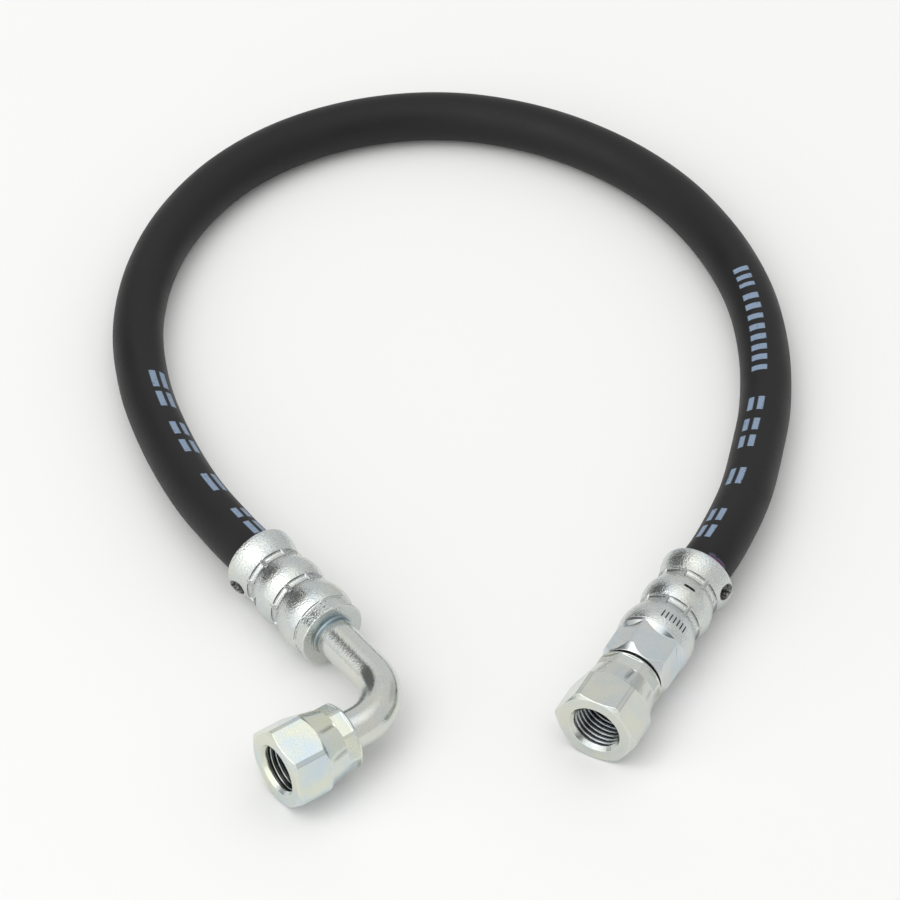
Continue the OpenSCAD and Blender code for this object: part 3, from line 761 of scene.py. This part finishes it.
# ---------------------------------------------------------------------------
# Swivel nuts: turned from hexagon bar and threaded inside, with a cone behind the
# hexagon and a collar staked over the stem by eight flats. The staking squeezes the
# cone too, into swellings with a crease between two. Each turns on its stem.
nut_half, nut_trim = 9.5, 10.65
face_radius, face_chamfer = 9.351, 0.75
collar_radius, collar_half, first_rib = 8.4, 7.9, 18.0
flats = 8
flat_step = 360.0 / flats
cone_start, cone_end, cone_radius = 4.3, 9.38, 9.46
collar_bore, hollow_radius, hollow_start, hollow_end = 5.2, 6.45, 3.9, 9.9
thread_pitch, thread_minor, thread_depth = 1.337, 5.7225, 0.8
thread_first, thread_last = 18.2, 10.1

# Down a crease of the cone: places along the nut, and how much of its depth it has there
crease_places = ((4.3, 0.6), (4.9, 1.0), (5.9, 1.0), (6.9, 1.0), (7.8, 0.8), (8.7, 0.3))
crease_ends = (4.9, 7.8)


def nut_angles(roll, strip, crease):
    """Angles round a nut: close together at its corners, at the ribs between the
    collar's flats and at the creases of the cone."""
    eighths = np.arange(flats)[:, None] * flat_step
    ribs = first_rib - roll + eighths + np.array([-3.4, -2.7, -2.4, 0, 2.4, 2.7, 3.4])
    angles = np.append(corner_angles(-roll, strip), ribs) % 360
    middles = first_rib + flat_step / 2 - roll + eighths
    more = middles + np.mean(crease) + np.linspace(-10, 10, 11)
    more = more.ravel() % 360
    apart = np.abs((more[:, None] - angles + 180) % 360 - 180).min(axis=1)
    return np.unique(np.round(np.append(angles, more[apart > 0.5]), 3))


def squeezed_cone(angles, roll, crease):
    """Stations of the cone behind the hexagon, and how much painted shade a crease gives each
    one.
    Radius = a plain cone + bite x (a swelling of 0.1 between two creases - a groove of
    0.38 at a crease); the bite is deepest on the side where the tool closed last."""
    bite = 0.25 + 0.75 * np.clip(np.cos(np.radians(angles - 70.0)), 0, 1) ** 3
    stations, crease_shade = [], []
    for z, share in crease_places:
        turn = angles + roll - first_rib - np.interp(z, crease_ends, crease)
        away = np.abs(turn % flat_step - flat_step / 2)
        swelling = 0.10 * np.sin(np.pi * away / flat_step)
        groove_depth = 0.38 * np.clip(1 - away / 6.5, 0, 1) ** 1.5
        plain = np.interp(z, (cone_start, cone_end), (collar_radius, cone_radius))
        stations.append((plain + share * bite * (swelling - groove_depth), z))
        crease_shade.append(share * bite * np.exp(-(away / 2.6) ** 2))
    return stations, crease_shade


def swivel_nut(name, place, node_name, body, roll, finish, crease):
    """One nut, from its rear rim to its face, bored and threaded. crease says how many
    degrees the creases of the cone lie from the flats' middles, at both their ends."""
    strip = 30.0 - np.degrees(np.arccos(nut_half / nut_trim))
    angles = nut_angles(roll, strip, crease)
    side = hexagon(angles, -roll, nut_half, nut_trim)
    off = np.abs((angles + roll - first_rib) % flat_step - flat_step / 2)
    staked = np.minimum(collar_half / np.cos(np.radians(off)), collar_radius)
    rear = nut_half + (side - nut_half) * 0.95
    front = nut_length - face_chamfer * (1 - (nut_trim - side) / (nut_trim - face_radius))
    collar = [(collar_bore, 0.0), (7.8, 0.0), (collar_radius, 0.6), (collar_radius, 0.85),
              (staked, 1.0), (staked, 4.0), (collar_radius, 4.15)]
    cone, crease_shade = squeezed_cone(angles, roll, crease)
    outside = collar + cone + [
        (cone_radius, cone_end), (side, rear), (side, front), (face_radius, nut_length),
        (6.7, nut_length), (thread_minor + 0.05, 18.37)]
    inside = [(thread_minor, hollow_end), (hollow_radius, hollow_end),
              (hollow_radius, hollow_start), (collar_bore, hollow_start)]
    whole, edge = eased(profile_of(angles, *outside, *inside), 0.09)
    steps = whole.shape[1] // (len(outside) + len(inside))

    # Painted shade in the creases and in a fine line down each side of a corner
    pinch = np.zeros_like(edge)
    for k, share in enumerate(crease_shade, len(collar)):
        pinch[:, k * steps:(k + 1) * steps] = 0.9 * share[:, None]
    hexagon_part = np.s_[:, len(collar + cone) * steps:(len(collar + cone) + 3) * steps]
    corner = np.abs((angles + roll + 30.0) % 60.0 - 30.0)
    pinch[hexagon_part] = 0.22 * np.exp(-((corner - strip) / 0.9) ** 2)[:, None]

    # The thread: its depth follows half a cosine along the helix and fades at both ends
    cut = steps * len(outside)
    z = np.linspace(thread_first, thread_last, 92)
    turns = z[None] / thread_pitch - angles[:, None] / 360.0
    fade = np.clip(np.minimum((18.6 - z) / 0.9, (z - hollow_end) / 0.8), 0, 1)
    depth = fade * (0.5 - 0.5 * np.cos(2 * np.pi * turns)) ** 0.8
    r = thread_minor + thread_depth * depth
    thread = np.stack([r, np.broadcast_to(z, r.shape)], axis=-1)
    points = np.concatenate([whole[:, :cut], thread, whole[:, cut:]], axis=1)
    # Painted shade in the thread's valleys, darker further in, a painted highlight on its
    # crests that fades further in, and full painted shade on the hollow and bore behind the
    # thread
    valley_shade = np.minimum(1.1 * depth ** 0.5 + 0.09 * (18.4 - z), 1.3)
    crest_highlight = 0.6 * (1 - depth) ** 5 * np.clip((z - 7.0) / 9.0, 0, 1)
    pinch = np.concatenate([pinch[:, :cut], valley_shade, pinch[:, cut:] + 1.3], axis=1)
    edge = np.concatenate([edge[:, :cut], crest_highlight, edge[:, cut:]], axis=1)
    piece = grid_piece(name, place(round_axis(points, angles)), body, [node_name],
                       "nut_zinc", edge=edge, pinch=pinch)
    piece.data.materials.append(finish)


yellow_zinc = plated("yellow_zinc", (0.64, 0.67, 0.63), (0.59, 0.64, 0.64), (0.69, 0.69, 0.60),
                     0.20, 1.0, 0.00004)
blue_zinc = plated("blue_zinc", (0.66, 0.71, 0.69), (0.59, 0.68, 0.73), (0.73, 0.74, 0.58),
                   0.20, 1.0, 0.00004)
swivel_nut("straight_nut_turned", lambda p: on_straight(p + (0, 0, nut_at)),
           "straight_nut", "straight_swivel", 2.0, yellow_zinc, (-14.0, -11.5))
swivel_nut("elbow_nut_turned", lambda p: on_elbow_drop(p + (0, 0, elbow_drop - nut_length)),
           "elbow_nut", "elbow_swivel", 16.0, blue_zinc, (4.0, 1.0))

# ---------------------------------------------------------------------------
# Studio: a plain pale floor, a soft lamp above and to the left, and a pale room that
# is darker on some sides, which the plated steel reflects.
floor_mesh = bpy.data.meshes.new("studio_floor")
floor_mesh.from_pydata([(-4, -4, 0), (4, -4, 0), (4, 4, 0), (-4, 4, 0)], [],
                       [(0, 1, 2, 3)])
floor = add_object("studio_floor", floor_mesh)
material, tree, _ = new_material("studio_floor")
finish_material(tree, Base_Color=(0.895, 0.895, 0.885, 1.0), Roughness=0.6,
                Specular_IOR_Level=0.2)
floor_mesh.materials.append(material)

world = bpy.data.worlds.new("studio_room")
world.use_nodes = True
bpy.context.scene.world = world
tree = world.node_tree
tree.nodes.clear()
toward = node(tree, "ShaderNodeVectorMath",
              {0: node(tree, "ShaderNodeTexCoord").outputs["Generated"]},
              operation="NORMALIZE").outputs[0]
# The room's even light, and its patches: for each its direction in plan (0 is +Y and
# 90 is +X), its height above the floor, how far round that it is full and where it
# ends, all in degrees, and the light that it adds or takes
room = 0.76
patches = ((0, 88, 14, 40, 0.58), (-134, 32, 25, 52, 0.65), (-53, 24, 21, 27, -0.60),
           (53, 16, 4, 18, -0.20), (162, 27, 12, 23, -0.56), (-58, 48, 4, 11, -0.34))
for azimuth, height, full, end, light in patches:
    a, e = np.radians(azimuth), np.radians(height)
    centre = (np.sin(a) * np.cos(e), np.cos(a) * np.cos(e), np.sin(e))
    near = node(tree, "ShaderNodeVectorMath", {0: toward, 1: centre},
                operation="DOT_PRODUCT").outputs["Value"]
    room = math(tree, "ADD", room, between(tree, near, np.cos(np.radians(end)),
                                           np.cos(np.radians(full)), 0.0, light))
room = math(tree, "MAXIMUM", room, 0.14)
light = node(tree, "ShaderNodeBackground", {"Color": (1.0, 1.0, 1.0, 1.0), "Strength": room})
tree.links.new(light.outputs[0], node(tree, "ShaderNodeOutputWorld").inputs[0])

lamp = add_object("soft_lamp", bpy.data.lights.new("soft_lamp", "AREA"))
lamp.data.shape, lamp.data.size, lamp.data.size_y = "RECTANGLE", 0.7, 0.7
lamp.data.energy = 1.7
lamp.location = (-0.55, -0.30, 0.95)
# Turned so that it looks at the origin
across, along, down = -np.array(lamp.location)
lamp.rotation_euler = (np.arctan2(np.hypot(across, along), -down), 0.0,
                       np.arctan2(along, across) - np.pi / 2)
